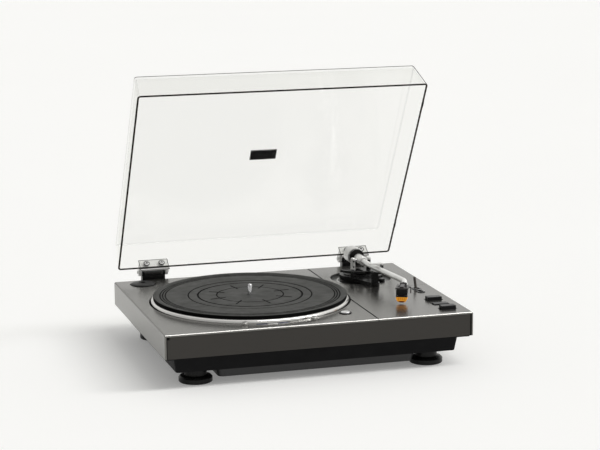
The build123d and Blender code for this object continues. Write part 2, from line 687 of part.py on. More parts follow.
def all_parts():
    """Every piece in the deck frame, by node name."""
    parts = {}
    parts.update(cabinet_covers())
    parts.update(front_pieces())
    parts["chassis"] = chassis()
    parts["bottom_cover"] = bottom_cover()
    parts["case_screws"] = case_screws()
    parts.update(feet())
    parts.update(drive())
    parts.update(electrics())
    parts.update(controls())
    parts.update(arm_fixtures())
    parts.update(arm_controls())
    parts.update(arm_moving())
    parts["arm_tube"] = arm_tube()
    parts.update(arm_head())
    weights, stub = arm_weights()
    parts.update(weights)
    parts["arm_barrel"] += stub
    parts.update({name: opened(piece) for name, piece in lid_pieces().items()})
    parts.update(hinge_fixed())
    return parts


def frame_shift(parts):
    """The move that puts the origin at the bottom centre of the whole box."""
    boxes = [piece.bounding_box() for piece in parts.values()]
    low_y = min(b.min.Y for b in boxes)
    high_y = max(b.max.Y for b in boxes)
    return 0.0, -(low_y + high_y) / 2, DECK_TOP


def main():
    os.makedirs("parts", exist_ok=True)
    parts = all_parts()
    shift = frame_shift(parts)
    for name, piece in parts.items():
        export_step(Pos(*shift) * piece, f"parts/{name}.step")
    print(len(parts), "parts, shift", [round(v, 3) for v in shift])


if __name__ == "__main__":
    main()
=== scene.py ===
"""Looks of the record player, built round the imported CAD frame. All lengths are metres in the row frame."""
import json
from math import atan2, cos, pi, radians, sin

import bmesh
import bpy
from mathutils import Matrix, Vector


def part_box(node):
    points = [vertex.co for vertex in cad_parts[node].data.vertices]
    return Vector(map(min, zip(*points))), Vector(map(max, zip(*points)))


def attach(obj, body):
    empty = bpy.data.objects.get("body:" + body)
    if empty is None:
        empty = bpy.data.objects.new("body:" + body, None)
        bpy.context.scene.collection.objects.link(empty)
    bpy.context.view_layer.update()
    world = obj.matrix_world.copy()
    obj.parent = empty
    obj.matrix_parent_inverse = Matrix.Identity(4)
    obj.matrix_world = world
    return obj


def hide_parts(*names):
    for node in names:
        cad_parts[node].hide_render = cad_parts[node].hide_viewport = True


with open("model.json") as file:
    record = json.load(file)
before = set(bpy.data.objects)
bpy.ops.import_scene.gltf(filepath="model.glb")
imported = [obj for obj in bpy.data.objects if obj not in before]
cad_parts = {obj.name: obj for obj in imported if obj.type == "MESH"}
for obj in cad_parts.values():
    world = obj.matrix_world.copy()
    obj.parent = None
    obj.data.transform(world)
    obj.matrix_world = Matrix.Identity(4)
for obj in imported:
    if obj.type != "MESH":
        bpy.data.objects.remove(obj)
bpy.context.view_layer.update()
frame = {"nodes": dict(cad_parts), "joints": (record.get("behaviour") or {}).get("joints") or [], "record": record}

MM = 0.001
ROUND = 192            # steps round a large turned piece
ROUND_SMALL = 64       # steps round a small one
SURROUND = 0.66        # brightness of the surround before its slope
MATTE_SHARE = 0.56     # share of the surround that matte surfaces get
LAMPS = 6
LAMP_POWER = 0.285     # of each lamp
LAMP_SPREAD = 13       # degrees
HEAD_TURN = -26        # degrees from the deck's front to the headshell's own frame
HIGHLIGHT_TURN = 28      # degrees from the deck's front to the painted highlight line on the cue plate

LID_WALL = 3.0 * MM
LID_TAPER = 5.1 * MM   # how far each wall leans in over the cover's height
LID_HEIGHT = 53.8 * MM
LID_CORNER = 5.0 * MM
LID_CURL = 1.8 * MM    # rounding between walls and top
PLATE_SCREW_OUT, PLATE_SCREW_UP = 12.1 * MM, 8.0 * MM
CLEAR, PAINTED_DARK_RIM, PAINTED_DARK_LINE, PAINTED_PALE_TURN = range(4)   # material indices of the cover: clear sheet, then painted shade on the rim, a painted dark line and a painted pale sheen on the top edge and corners


# ------------------------------------------------------------------ places
def middle(node):
    """The middle of a CAD node's box."""
    low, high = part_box(node)
    return (low + high) / 2


def extent(node):
    """The lengths of a CAD node's box."""
    low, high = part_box(node)
    return high - low


def joint(name):
    """A joint of the record, by name."""
    return next(j for j in frame["joints"] if j["name"] == name)


def turned_by(name, degrees):
    """The matrix that turns a piece about a hinge, as the joint would."""
    hinge = joint(name)
    at = Vector(hinge["pos_m"])
    spin = Matrix.Rotation(radians(degrees), 4, Vector(hinge["axis"]))
    return Matrix.Translation(at) @ spin @ Matrix.Translation(-at)


DECK_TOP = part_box("platter_deck")[1].z
SPIN = middle("platter").xy
PIVOT = middle("arm_yoke").xy


# --------------------------------------------------------------- mesh tools
def piece(name, mesh, body, material, replaces=()):
    """Put a bmesh into the scene as a piece that rides on a body."""
    data = bpy.data.meshes.new(name)
    bmesh.ops.recalc_face_normals(mesh, faces=mesh.faces)
    mesh.to_mesh(data)
    mesh.free()
    data.shade_smooth()
    data.set_sharp_from_angle(angle=radians(32))
    for one in material if isinstance(material, (list, tuple)) else [material]:
        data.materials.append(one)
    made = bpy.data.objects.new(name, data)
    bpy.context.scene.collection.objects.link(made)
    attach(made, body)
    if replaces:
        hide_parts(*replaces)
    return made


def add_loops(mesh, loops, close=True, material_index=0):
    """Skin faces between rings of points; close joins the last ring to the first."""
    rings = [[mesh.verts.new(p) for p in loop] for loop in loops]
    pairs = list(zip(rings, rings[1:]))
    if close:
        pairs.append((rings[-1], rings[0]))
    for one, two in pairs:
        count = len(one)
        for k in range(count):
            after = (k + 1) % count
            face = mesh.faces.new((one[k], one[after], two[after], two[k]))
            face.material_index = material_index
    return rings


def add_lathe(mesh, centre, profile, steps=ROUND, frame_of=None):
    """A turned solid from (radius, height) points; the first and last may lie on the axis."""
    place = frame_of or Matrix.Translation(centre)
    rings = []
    for radius, height in profile:
        if radius < 1e-7:
            rings.append([mesh.verts.new(place @ Vector((0, 0, height)))])
        else:
            angles = (2 * pi * k / steps for k in range(steps))
            points = (Vector((radius * cos(a), radius * sin(a), height)) for a in angles)
            rings.append([mesh.verts.new(place @ p) for p in points])
    closed = len(rings[0]) > 1
    pairs = list(zip(rings, rings[1:]))
    if closed:
        pairs.append((rings[-1], rings[0]))
    for one, two in pairs:
        for k in range(steps):
            after = (k + 1) % steps
            corners = [one[k % len(one)], one[after % len(one)], two[after % len(two)], two[k % len(two)]]
            unique = list(dict.fromkeys(corners))
            if len(unique) > 2:
                mesh.faces.new(unique)


def add_box(mesh, low, high, bevel=0.0, place=None, segments=2):
    """A block between two corners with rounded edges, optionally placed by a matrix."""
    made = bmesh.ops.create_cube(mesh, size=1.0)
    verts = made["verts"]
    low, high = Vector(low), Vector(high)
    size, centre = high - low, (low + high) / 2
    for v in verts:
        v.co = Vector(v.co[i] * size[i] + centre[i] for i in range(3))
    if bevel:
        edges = list({e for v in verts for e in v.link_edges})
        result = bmesh.ops.bevel(
            mesh, geom=edges, offset=bevel, segments=segments, affect="EDGES", profile=0.5
        )
        verts = list({v for f in result["faces"] for v in f.verts} | {v for v in verts if v.is_valid})
    if place is not None:
        bmesh.ops.transform(mesh, matrix=place, verts=verts)


# ---------------------------------------------------------------- materials
class Shader:
    """A node material under construction, with short calls for the usual nodes."""

    def __init__(self, name, color, rough, metallic=0.0, **inputs):
        self.material = bpy.data.materials.new(name)
        self.material.use_nodes = True
        self.nodes = self.material.node_tree.nodes
        self.links = self.material.node_tree.links
        self.bsdf = self.nodes["Principled BSDF"]
        self.bsdf.inputs["Base Color"].default_value = (*color, 1)
        self.bsdf.inputs["Roughness"].default_value = rough
        self.bsdf.inputs["Metallic"].default_value = metallic
        for key, value in inputs.items():
            self.bsdf.inputs[key.replace("_", " ")].default_value = value
        self.color = color
        self.rough = rough
        self.place = self.nodes.new("ShaderNodeTexCoord").outputs["Object"]

    def link(self, start, end):
        self.links.new(start, end)

    def stretched(self, scale):
        """The object coordinates scaled by a vector, for grain along one direction."""
        mapping = self.nodes.new("ShaderNodeMapping")
        mapping.inputs["Scale"].default_value = scale
        self.link(self.place, mapping.inputs["Vector"])
        return mapping.outputs["Vector"]

    def noise(self, scale, detail=3.0, vector=None, distortion=0.0):
        made = self.nodes.new("ShaderNodeTexNoise")
        made.inputs["Scale"].default_value = scale
        made.inputs["Detail"].default_value = detail
        made.inputs["Distortion"].default_value = distortion
        self.link(vector or self.place, made.inputs["Vector"])
        return made.outputs["Fac"]

    def remap(self, value, low, high, start=0.0, end=1.0):
        made = self.nodes.new("ShaderNodeMapRange")
        made.inputs["From Min"].default_value = start
        made.inputs["From Max"].default_value = end
        made.inputs["To Min"].default_value = low
        made.inputs["To Max"].default_value = high
        self.link(value, made.inputs["Value"])
        return made.outputs["Result"]

    def blend(self, factor, one, two):
        """Mix two colours by a factor; either may be a colour or an output."""
        made = self.nodes.new("ShaderNodeMix")
        made.data_type = "RGBA"
        self.link(factor, made.inputs["Factor"])
        for socket, value in ((made.inputs[6], one), (made.inputs[7], two)):
            if isinstance(value, (tuple, list)):
                socket.default_value = (*value, 1)
            else:
                self.link(value, socket)
        return made.outputs[2]

    def vary_rough(self, value, spread):
        self.link(self.remap(value, self.rough - spread, self.rough + spread, 0.3, 0.7),
                  self.bsdf.inputs["Roughness"])

    def vary_color(self, value, darker, lighter, start=0.3, end=0.7):
        """Let the base colour drift between two shares of itself."""
        low = tuple(c * darker for c in self.color)
        high = tuple(min(1.0, c * lighter) for c in self.color)
        mixed = self.blend(self.remap(value, 0, 1, start, end), low, high)
        self.link(mixed, self.bsdf.inputs["Base Color"])
        return mixed

    def bump(self, value, depth, distance=MM, edge=0.0):
        """Bump from a value, and softened edges of the given radius."""
        made = self.nodes.new("ShaderNodeBump")
        made.inputs["Strength"].default_value = depth
        made.inputs["Distance"].default_value = distance
        self.link(value, made.inputs["Height"])
        if edge:
            soft = self.nodes.new("ShaderNodeBevel")
            soft.samples = 4
            soft.inputs["Radius"].default_value = edge
            self.link(soft.outputs["Normal"], made.inputs["Normal"])
        self.link(made.outputs["Normal"], self.bsdf.inputs["Normal"])


def plastic(name, color, rough, grain=0.25, edge=0.4, **inputs):
    """Moulded plastic: fine pebble grain, slight rub marks."""
    s = Shader(name, color, rough, **inputs)
    s.bump(s.noise(1800, 2), grain, 0.1 * MM, edge * MM)
    s.vary_rough(s.noise(45, 4), 0.07)
    s.vary_color(s.noise(28, 5), 0.82, 1.35)
    return s.material


def lacquer(name, color, rough, metallic, flake=0.12, edge=0.5, **inputs):
    """Painted metal: orange peel, faint mottling, flakes that catch the light."""
    s = Shader(name, color, rough, metallic, **inputs)
    s.bump(s.noise(900, 2), flake, 0.02 * MM, edge * MM)
    s.vary_rough(s.noise(9, 3), 0.02)
    s.vary_color(s.noise(4, 3), 0.96, 1.04)
    return s.material


def brushed(name, color, rough, direction, metallic=1.0, edge=0.3, **inputs):
    """Metal with fine lines along one direction."""
    s = Shader(name, color, rough, metallic, **inputs)
    scale = [900, 900, 900]
    scale[direction] = 14
    lines = s.noise(1.0, 3, s.stretched(scale))
    s.bump(lines, 0.05, 0.03 * MM, edge * MM)
    s.vary_rough(lines, 0.04)
    s.vary_color(s.noise(30, 4), 0.88, 1.06)
    return s.material


def turned_metal(name, color, rough, centre, edge=0.2, **inputs):
    """Metal with the fine rings that a lathe leaves round an upright axis."""
    s = Shader(name, color, rough, 1.0, **inputs)
    shift = s.nodes.new("ShaderNodeVectorMath")
    shift.operation = "SUBTRACT"
    shift.inputs[1].default_value = (*centre, 0)
    s.link(s.place, shift.inputs[0])
    flat = s.nodes.new("ShaderNodeVectorMath")
    flat.operation = "MULTIPLY"
    flat.inputs[1].default_value = (1, 1, 0)
    s.link(shift.outputs[0], flat.inputs[0])
    length = s.nodes.new("ShaderNodeVectorMath")
    length.operation = "LENGTH"
    s.link(flat.outputs[0], length.inputs[0])
    join = s.nodes.new("ShaderNodeCombineXYZ")
    s.link(length.outputs["Value"], join.inputs["X"])
    rings = s.noise(2600, 2, join.outputs["Vector"])
    s.bump(rings, 0.03, 0.02 * MM, edge * MM)
    s.vary_rough(rings, 0.03)
    s.vary_color(s.noise(20, 3), 0.92, 1.04)
    return s.material


def rubber(name, color, rough=0.72, grain=0.3):
    """Rubber: matte, dusty in places, finely pebbled."""
    s = Shader(name, color, rough, Specular_IOR_Level=0.42)
    s.bump(s.noise(2400, 2), grain, 0.08 * MM, 0.25 * MM)
    s.vary_rough(s.noise(60, 4), 0.08)
    dust = s.remap(s.noise(14, 7, distortion=0.8), 0, 1, 0.42, 0.75)
    s.link(s.blend(dust, tuple(c * 0.88 for c in color), tuple(c * 1.22 for c in color)),
           s.bsdf.inputs["Base Color"])
    return s.material


def clear_sheet(name, tint, opacity, rough=0.02, gloss_share=0.05):
    """Clear plastic that lets light straight through, with a slight gloss and a faint haze."""
    s = Shader(name, tint, rough, IOR=1.49)
    out = next(n for n in s.nodes if n.type == "OUTPUT_MATERIAL")
    through = s.nodes.new("ShaderNodeBsdfTransparent")
    through.inputs["Color"].default_value = (*tint, 1)
    gloss = s.nodes.new("ShaderNodeBsdfGlossy")
    gloss.inputs["Roughness"].default_value = rough
    clear = s.nodes.new("ShaderNodeMixShader")
    clear.inputs["Fac"].default_value = gloss_share
    s.link(through.outputs[0], clear.inputs[1])
    s.link(gloss.outputs[0], clear.inputs[2])
    both = s.nodes.new("ShaderNodeMixShader")
    haze = s.remap(s.noise(35, 6), opacity * 0.7, opacity * 1.3, 0.3, 0.7)
    s.link(haze, both.inputs["Fac"])
    s.link(clear.outputs[0], both.inputs[1])
    s.link(s.bsdf.outputs[0], both.inputs[2])
    s.link(both.outputs[0], out.inputs["Surface"])
    return s.material


def tinted_clear(name, color, painted_glow=0.0):
    """Tinted clear plastic, such as a stylus guard, with a painted glow for the light that it passes on."""
    s = Shader(name, color, 0.18, IOR=1.49)
    # painted glow: emission in the plastic's own colour
    s.bsdf.inputs["Emission Color"].default_value = (*color, 1)
    s.bsdf.inputs["Emission Strength"].default_value = painted_glow
    s.bump(s.noise(500, 2), 0.06, 0.1 * MM, 0.3 * MM)
    s.vary_color(s.noise(140, 3), 0.8, 1.12)
    return s.material


def coil_wire(name, color):
    """Wound enamelled wire."""
    s = Shader(name, color, 0.32, 0.9)
    s.bump(s.noise(1.0, 2, s.stretched((200, 200, 3800))), 0.5, 0.15 * MM)
    s.vary_color(s.noise(400, 3), 0.7, 1.2)
    return s.material


def circuit_board(name, color):
    """Green board with darker tracks under its mask."""
    s = Shader(name, color, 0.35)
    cells = s.nodes.new("ShaderNodeTexVoronoi")
    cells.feature = "DISTANCE_TO_EDGE"
    cells.inputs["Scale"].default_value = 120
    s.link(s.place, cells.inputs["Vector"])
    tracks = s.remap(cells.outputs["Distance"], 0, 1, 0.05, 0.12)
    s.link(s.blend(tracks, tuple(c * 0.5 for c in color), color), s.bsdf.inputs["Base Color"])
    s.bump(tracks, 0.3, 0.05 * MM)
    return s.material


def base_color(slot):
    """The record's colour of a slot."""
    found = next(m for m in frame["record"]["materials"] if m["slot"] == slot)
    return tuple(found["base_color"][:3])


def make_materials():
    """One material for each slot of the record."""
    black = (0.011, 0.011, 0.012)
    return {
        "cabinet_metal": lacquer("cabinet_metal", (0.178, 0.174, 0.162), 0.24, 0.92),
        "fascia_dark": lacquer(
            "fascia_dark", (0.030, 0.027, 0.023), 0.40, 0.1, edge=0.3, Specular_IOR_Level=0.35
        ),
        "bright_trim": brushed("bright_trim", (0.62, 0.61, 0.59), 0.25, 0),
        "case_plastic": plastic("case_plastic", (0.006, 0.006, 0.0065), 0.5, 0.3, Specular_IOR_Level=0.08),
        "tray_steel": lacquer("tray_steel", (0.014, 0.014, 0.015), 0.42, 0.1),
        "screw_steel": brushed("screw_steel", (0.55, 0.55, 0.56), 0.3, 2),
        "foot_plastic": plastic("foot_plastic", (0.006, 0.006, 0.006), 0.34, 0.15, Specular_IOR_Level=0.2),
        "foot_rubber": rubber("foot_rubber", (0.018, 0.018, 0.018)),
        "well_plastic": plastic("well_plastic", (0.005, 0.005, 0.005), 0.5, 0.3, Specular_IOR_Level=0.15),
        "platter_metal": turned_metal("platter_metal", (0.74, 0.73, 0.71), 0.2, SPIN),
        "mat_rubber": rubber("mat_rubber", (0.022, 0.0225, 0.020), 0.62),
        "chrome": turned_metal("chrome", (0.62, 0.62, 0.63), 0.10, SPIN),
        "bearing_brass": turned_metal("bearing_brass", base_color("bearing_brass"), 0.25, SPIN),
        "motor_copper": coil_wire("motor_copper", (0.62, 0.28, 0.12)),
        "magnet_grey": lacquer("magnet_grey", base_color("magnet_grey"), 0.45, 0.6),
        "transformer_steel": brushed("transformer_steel", base_color("transformer_steel"), 0.5, 0),
        "board_green": circuit_board("board_green", base_color("board_green")),
        "lamp_window": tinted_clear("lamp_window", (0.05, 0.07, 0.16)),
        "terminal_black": plastic("terminal_black", black, 0.3, 0.2),
        "key_black": plastic("key_black", (0.005, 0.005, 0.0055), 0.3, 0.1, 0.3, Specular_IOR_Level=0.3),
        "lever_grey": lacquer("lever_grey", (0.055, 0.048, 0.042), 0.30, 0.5),
        "adapter_black": plastic("adapter_black", (0.007, 0.007, 0.007), 0.4, 0.2, Specular_IOR_Level=0.3),
        "arm_black": plastic("arm_black", (0.005, 0.005, 0.005), 0.26, 0.08, 0.35, Specular_IOR_Level=0.25),
        "arm_silver": brushed("arm_silver", (0.88, 0.88, 0.86), 0.22, 1, 0.55),
        "weight_grey": lacquer("weight_grey", (0.70, 0.70, 0.68), 0.30, 0.35),
        "headshell_grey": lacquer("headshell_grey", (0.05, 0.045, 0.045), 0.30, 0.6),
        "cartridge_black": plastic(
            "cartridge_black", (0.005, 0.005, 0.005), 0.25, 0.08, 0.25, Specular_IOR_Level=0.3
        ),
        # the orange guard glows with painted light
        "guard_orange": tinted_clear("guard_orange", (1.0, 0.40, 0.03), 0.3),
        "clear_acrylic": clear_sheet("clear_acrylic", (0.986, 0.987, 0.981), 0.006, 0.02, 0.03),
        "badge_dark": lacquer("badge_dark", (0.005, 0.005, 0.006), 0.22, 0.1, Specular_IOR_Level=0.3),
        "hinge_steel": brushed("hinge_steel", (0.96, 0.96, 0.94), 0.35, 0, 0.05),
        "hinge_black": plastic("hinge_black", (0.007, 0.007, 0.007), 0.3, 0.2, Specular_IOR_Level=0.35),
    }


LOOK = make_materials()
# near-black for painted shade in the mat's grooves and outer edge, the cover grooves and the fascia gaps; also the
# colour of the mat's radial lines
SHADE = plastic("shade_and_line_black", (0.003, 0.003, 0.003), 0.8, 0.1, Specular_IOR_Level=0.05)


def dress_cad_nodes():
    """Give every CAD node the material of its slot."""
    for entry in frame["record"]["subparts"]:
        data = frame["nodes"][entry["node"]].data
        data.materials.clear()
        data.materials.append(LOOK[entry["material_slot"]])


# ------------------------------------------------------------ camera, stage
def make_camera():
    """A long lens in front and to the left, a little above the deck."""
    yaw, pitch, roll = radians(16.42), radians(11.09), radians(-0.38)
    ahead = Vector((sin(yaw) * cos(pitch), cos(yaw) * cos(pitch), -sin(pitch)))
    level = Vector((cos(yaw), -sin(yaw), 0))
    above = level.cross(ahead)
    right = level * cos(roll) + above * sin(roll)
    up = above * cos(roll) - level * sin(roll)
    turn = Matrix((right, up, -ahead)).transposed().to_4x4()
    data = bpy.data.cameras.new("camera")
    data.lens = 120
    data.sensor_width = 36
    data.clip_end = 60
    camera = bpy.data.objects.new("camera", data)
    deck_middle = Vector((0, (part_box("platter_deck")[0].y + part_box("platter_deck")[1].y) / 2, DECK_TOP))
    away = Vector((-0.8209, -2.8551, 0.69295))
    camera.matrix_world = Matrix.Translation(deck_middle + away) @ turn
    bpy.context.scene.collection.objects.link(camera)
    bpy.context.scene.camera = camera


def make_floor():
    """A wide pale floor."""
    mesh = bmesh.new()
    bmesh.ops.create_circle(mesh, cap_ends=True, segments=96, radius=14)
    s = Shader("floor_white", (0.86, 0.86, 0.85), 0.9, Specular_IOR_Level=0.1)
    s.vary_color(s.noise(1.2, 3), 0.995, 1.005)
    s.bsdf.inputs["Emission Color"].default_value = (1.0, 1.0, 0.985, 1)
    s.bsdf.inputs["Emission Strength"].default_value = 0.21
    data = bpy.data.meshes.new("floor")
    mesh.to_mesh(data)
    mesh.free()
    data.materials.append(s.material)
    floor = bpy.data.objects.new("floor", data)
    bpy.context.scene.collection.objects.link(floor)


def make_light():
    """Soft studio light: a surround, dimmer for matte surfaces, and a row of suns at the front right."""
    world = bpy.data.worlds.new("studio")
    bpy.context.scene.world = world
    world.use_nodes = True
    nodes, links = world.node_tree.nodes, world.node_tree.links
    light = nodes["Background"]
    light.inputs["Color"].default_value = (1.0, 0.995, 0.98, 1)
    coords = nodes.new("ShaderNodeTexCoord")
    slope = nodes.new("ShaderNodeVectorMath")
    slope.operation = "DOT_PRODUCT"
    slope.inputs[1].default_value = (0.20, 0.16, 0.16)
    links.new(coords.outputs["Generated"], slope.inputs[0])
    level = nodes.new("ShaderNodeMath")
    level.inputs[1].default_value = SURROUND
    links.new(slope.outputs["Value"], level.inputs[0])
    path = nodes.new("ShaderNodeLightPath")
    share = nodes.new("ShaderNodeMapRange")
    share.inputs["To Min"].default_value = 1.0
    share.inputs["To Max"].default_value = MATTE_SHARE
    links.new(path.outputs["Is Diffuse Ray"], share.inputs["Value"])
    dimmed = nodes.new("ShaderNodeMath")
    dimmed.operation = "MULTIPLY"
    links.new(level.outputs[0], dimmed.inputs[0])
    links.new(share.outputs["Result"], dimmed.inputs[1])
    links.new(dimmed.outputs[0], light.inputs["Strength"])
    seen = nodes.new("ShaderNodeBackground")
    seen.inputs["Color"].default_value = (0.905, 0.905, 0.895, 1)
    mix = nodes.new("ShaderNodeMixShader")
    links.new(path.outputs["Is Camera Ray"], mix.inputs["Fac"])
    links.new(light.outputs[0], mix.inputs[1])
    links.new(seen.outputs[0], mix.inputs[2])
    links.new(mix.outputs[0], nodes["World Output"].inputs["Surface"])
    for k in range(LAMPS):
        lamp_data = bpy.data.lights.new(f"strip_{k}", "SUN")
        lamp_data.energy = LAMP_POWER
        lamp_data.angle = radians(LAMP_SPREAD)
        lamp_data.color = (1.0, 0.995, 0.985)
        lamp = bpy.data.objects.new(f"strip_{k}", lamp_data)
        toward = Vector((0.15 + 0.24 * k, -0.43, 1.0))
        lamp.rotation_euler = toward.to_track_quat("Z", "Y").to_euler()
        bpy.context.scene.collection.objects.link(lamp)
    bpy.context.scene.view_settings.view_transform = "Standard"


# ------------------------------------------------------------------ platter
def make_mat():
    """Rubber mat: edge grooves, raised ring that carries the record, ring lines and radial lines. The grooves and
    the outer edge are painted near-black as painted shade.
    """
    low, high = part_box("platter_mat")
    top, base = high.z, low.z
    rim = (high.x - low.x) / 2
    hole = extent("spindle").x / 2 + 0.35 * MM
    profile = [(hole, base), (rim - 0.4 * MM, base), (rim, base + 0.4 * MM), (rim, top - 1.5 * MM)]
    for k in range(5):
        a = pi / 2 * k / 4
        profile.append((rim - 1.2 * MM * (1 - cos(a)), top - 1.2 * MM * (1 - sin(a))))
    profile += [(rim - 5.2 * MM, top), (rim - 6.6 * MM, top - 1.0 * MM)]
    shelf = top - 1.2 * MM
    inner = shelf - 0.5 * MM
    grooves = []

    def add_groove(radius, width, depth, level):
        grooves.append((radius, width))
        profile.extend([
            (radius + width / 2, level), (radius + width / 2.6, level - depth),
            (radius - width / 2.6, level - depth), (radius - width / 2, level),
        ])

    for step in range(3):
        add_groove(rim - (10.5 + 3.9 * step) * MM, 1.9 * MM, 1.1 * MM, shelf)
    profile += [(96.0 * MM, shelf), (95.2 * MM, inner)]
    add_groove(93.5 * MM, 1.9 * MM, 0.9 * MM, inner)
    add_groove(79.0 * MM, 2.9 * MM, 0.9 * MM, inner)
    add_groove(50.5 * MM, 1.9 * MM, 0.9 * MM, inner)
    profile.append((hole, inner))
    mesh = bmesh.new()
    add_lathe(mesh, Vector((*SPIN, 0)), profile)
    # painted shade: faces inside the grooves and on the outer edge take the near-black material
    for face in mesh.faces:
        out = (face.calc_center_median().xy - SPIN).length
        if face.calc_center_median().z > base + 1 * MM:
            if any(abs(out - radius) < width / 2 - 0.05 * MM for radius, width in grooves):
                face.material_index = 1
            elif out > rim - 0.5 * MM:
                face.material_index = 1
    piece("mat_grooved", mesh, "turntable", [LOOK["mat_rubber"], SHADE], ["platter_mat"])
    lines = bmesh.new()
    for k in range(8):
        place = Matrix.Translation((*SPIN, inner)) @ Matrix.Rotation(radians(45 * k + 12), 4, "Z")
        add_box(lines, (41 * MM, -1.0 * MM, -0.3 * MM), (66 * MM, 1.0 * MM, 0.3 * MM), 0.1 * MM, place, 1)
    piece("mat_lines", lines, "turntable", SHADE)


def make_platter():
    """Cast platter with a polished, bevelled rim."""
    low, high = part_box("platter")
    rim = (high.x - low.x) / 2
    top, base = high.z, low.z
    hole = extent("spindle").x / 2 + 0.05 * MM
    profile = [
        (hole, top - 13.5 * MM), (16 * MM, top - 13.5 * MM),
        (16 * MM, top - 2.6 * MM), (141 * MM, top - 2.6 * MM),
        (143 * MM, top - 4.6 * MM), (143 * MM, base),
        (rim - 1.2 * MM, base), (rim - 0.3 * MM, base + 0.5 * MM),
        (rim - 0.3 * MM, top - 9.0 * MM), (rim - 0.8 * MM, top - 8.6 * MM), (rim - 0.8 * MM, top - 8.0 * MM),
        (rim, top - 7.6 * MM), (rim, top - 2.4 * MM), (rim - 0.4 * MM, top - 1.7 * MM),
        (rim - 1.8 * MM, top - 0.3 * MM), (rim - 2.4 * MM, top), (hole, top),
    ]
    mesh = bmesh.new()
    add_lathe(mesh, Vector((*SPIN, 0)), profile)
    piece("platter_turned", mesh, "turntable", LOOK["platter_metal"], ["platter"])


def make_spindle():
    """Chromed spindle with a rounded tip."""
    low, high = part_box("spindle")
    radius = (high.x - low.x) / 2
    profile = [(0, low.z), (radius - 0.3 * MM, low.z)]
    profile += [(radius, low.z + 0.3 * MM), (radius, high.z - 4.2 * MM)]
    tip = 3.4 * MM
    for k in range(1, 9):
        a = pi / 2 * k / 8
        profile.append((max(0.0, (radius - 0.3 * MM) * cos(a)), high.z - tip + tip * sin(a)))
    profile[-1] = (0, high.z)
    mesh = bmesh.new()
    add_lathe(mesh, Vector((*SPIN, 0)), profile, ROUND_SMALL)
    piece("spindle_tipped", mesh, "turntable", LOOK["chrome"], ["spindle"])


# --------------------------------------------------------------- dust cover
def rounded_loop(half_x, half_y, radius, z, steps=6):
    """Points round a rectangle with rounded corners."""
    points = []
    for quarter, (sx, sy) in enumerate(((1, 1), (-1, 1), (-1, -1), (1, -1))):
        for k in range(steps + 1):
            a = pi / 2 * (quarter + k / steps)
            points.append(Vector((
                sx * (half_x - radius) + radius * cos(a), sy * (half_y - radius) + radius * sin(a), z
            )))
    return points


def make_cover():
    """Clear cover: drafted walls, rounded top edge and polished rim, made shut and then opened. The rim, the front
    top edge and the right corners carry painted dark shade; the other top edges and the left corners carry a
    painted pale sheen.
    """
    shut = joint("lid_hinge")["range_deg"][0]
    close, open_up = turned_by("lid_hinge", shut), turned_by("lid_hinge", -shut)
    points = [close @ v.co for v in frame["nodes"]["dust_cover"].data.vertices]
    low = Vector(min(p[i] for p in points) for i in range(3))
    high = Vector(max(p[i] for p in points) for i in range(3))
    size = high - low
    centre = Vector(((low.x + high.x) / 2, (low.y + high.y) / 2, low.z))
    wall, taper, corner, curl = LID_WALL, LID_TAPER, LID_CORNER, LID_CURL

    def at(height, inset):
        lean = taper * height / size.z
        return rounded_loop(
            size.x / 2 - lean - inset, size.y / 2 - lean - inset, max(corner - inset, 2 * MM), height
        )

    outer = [at(0.9 * MM, 0), at(size.z - curl - 1.0 * MM, 0), at(size.z - curl, 0)]
    for k in range(1, 5):
        a = pi / 2 * k / 4
        outer.append(at(size.z - curl + curl * sin(a), curl * (1 - cos(a))))
    inner_curl = 1.0 * MM
    roof = size.z - wall
    inner = [at(0.9 * MM, wall), at(roof - inner_curl, wall)]
    for k in range(1, 4):
        a = pi / 2 * k / 3
        inner.append(at(roof - inner_curl + inner_curl * sin(a), wall + inner_curl * (1 - cos(a))))
    mesh = bmesh.new()
    outer_rings = add_loops(mesh, outer, close=False)
    inner_rings = add_loops(mesh, inner, close=False)
    mesh.faces.new(outer_rings[-1])
    mesh.faces.new(inner_rings[-1][::-1])
    lip = [mesh.verts.new(p) for p in at(0, 0.35 * MM)]
    lip_in = [mesh.verts.new(p) for p in at(0, wall - 0.35 * MM)]
    chain = [outer_rings[0], lip, lip_in, inner_rings[0]]
    for one, two in zip(chain, chain[1:]):
        for k in range(len(one)):
            after = (k + 1) % len(one)
            mesh.faces.new((one[k], one[after], two[after], two[k])).material_index = PAINTED_DARK_RIM
    mesh.faces.ensure_lookup_table()
    # painted light: faces on the top edge and corners get the painted dark line at the front and right, and the
    # painted pale sheen elsewhere
    for face in mesh.faces:
        heights = [v.co.z for v in face.verts]
        spot = face.calc_center_median()
        lean = taper * spot.z / size.z
        side, front = size.x / 2 - lean - abs(spot.x), size.y / 2 - lean + spot.y
        if min(heights) > size.z - curl - 1.1 * MM and max(heights) - min(heights) > 0.02 * MM:
            face.material_index = PAINTED_DARK_LINE if front < wall else PAINTED_PALE_TURN
        elif max(side, front) < 0.8 * corner and face.material_index == CLEAR:
            face.material_index = PAINTED_DARK_LINE if spot.x > 0 else PAINTED_PALE_TURN
    bmesh.ops.transform(mesh, matrix=open_up @ Matrix.Translation(centre), verts=mesh.verts)
    # dark and pale sheets: painted shade and painted sheen on the cover's edges
    rim = clear_sheet("acrylic_painted_dark_rim", (0.03, 0.025, 0.022), 0.06, 0.20, 0.02)
    line = clear_sheet("acrylic_painted_dark_line", (0.06, 0.05, 0.045), 0.08, 0.20, 0.03)
    turn = clear_sheet("acrylic_painted_pale_turn", (0.93, 0.93, 0.925), 0.03, 0.06)
    sheets = [LOOK["clear_acrylic"], rim, line, turn]
    piece("cover_clear", mesh, "cover", sheets, ["dust_cover"])


